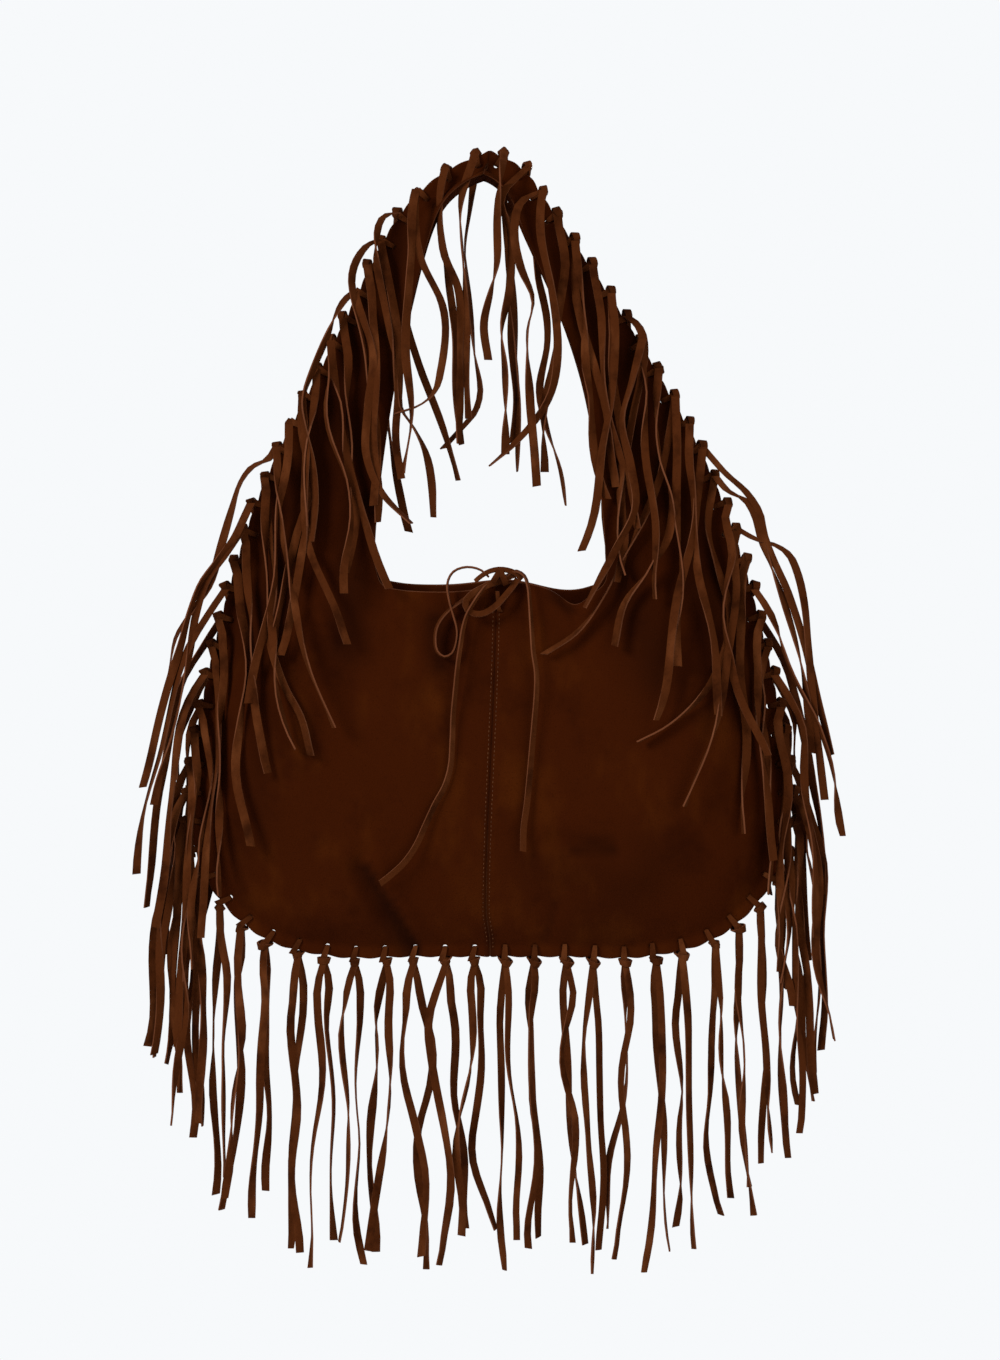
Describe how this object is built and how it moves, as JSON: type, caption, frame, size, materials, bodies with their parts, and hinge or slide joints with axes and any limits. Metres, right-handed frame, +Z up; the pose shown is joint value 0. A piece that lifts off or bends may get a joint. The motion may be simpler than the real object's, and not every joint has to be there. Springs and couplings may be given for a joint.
{
  "type": "fringed suede shoulder bag",
  "caption": "Soft suede shoulder bag with a wide one-piece strap, an open mouth with a front tie, and a long fringe laced through the punched outer edge.",
  "frame": {"origin": "underside of the crown of the strap, where a hook carries the bag, midway between its two plies", "axes": "+X to the right as seen from the front, -Y out of the front, +Z up"},
  "size_m": [0.4307, 0.0667, 0.7012],
  "materials": {
    "suede": "dark brown napped suede, dull",
    "lace_suede": "brown napped suede cut in flat strips, dull"
  },
  "bodies": {
    "root": {"back_panel_left": "suede", "back_panel_right": "suede", "front_panel_left": "suede", "front_panel_right": "suede", "lace_left_01": "lace_suede", "lace_left_02": "lace_suede", "lace_left_03": "lace_suede", "lace_left_04": "lace_suede", "lace_left_05": "lace_suede", "lace_left_06": "lace_suede", "lace_left_07": "lace_suede", "lace_left_08": "lace_suede", "lace_left_09": "lace_suede", "lace_left_10": "lace_suede", "lace_left_11": "lace_suede", "lace_left_12": "lace_suede", "lace_left_13": "lace_suede", "lace_left_14": "lace_suede", "lace_left_15": "lace_suede", "lace_left_16": "lace_suede", "lace_left_17": "lace_suede", "lace_left_18": "lace_suede", "lace_left_19": "lace_suede", "lace_left_33": "lace_suede", "lace_left_34": "lace_suede", "lace_left_35": "lace_suede", "lace_left_36": "lace_suede", "lace_left_37": "lace_suede", "lace_left_38": "lace_suede", "lace_right_01": "lace_suede", "lace_right_02": "lace_suede", "lace_right_03": "lace_suede", "lace_right_04": "lace_suede", "lace_right_05": "lace_suede", "lace_right_06": "lace_suede", "lace_right_07": "lace_suede", "lace_right_08": "lace_suede", "lace_right_09": "lace_suede", "lace_right_10": "lace_suede", "lace_right_11": "lace_suede", "lace_right_12": "lace_suede", "lace_right_13": "lace_suede", "lace_right_14": "lace_suede", "lace_right_15": "lace_suede", "lace_right_16": "lace_suede", "lace_right_17": "lace_suede", "lace_right_18": "lace_suede", "lace_right_19": "lace_suede", "lace_right_33": "lace_suede", "lace_right_34": "lace_suede", "lace_right_35": "lace_suede", "lace_right_36": "lace_suede", "lace_right_37": "lace_suede", "lace_right_38": "lace_suede", "tie_knot": "lace_suede", "tie_loop_left": "lace_suede", "tie_loop_right": "lace_suede", "tie_tail_left": "lace_suede", "tie_tail_right": "lace_suede"}
  },
  "joints": []
}
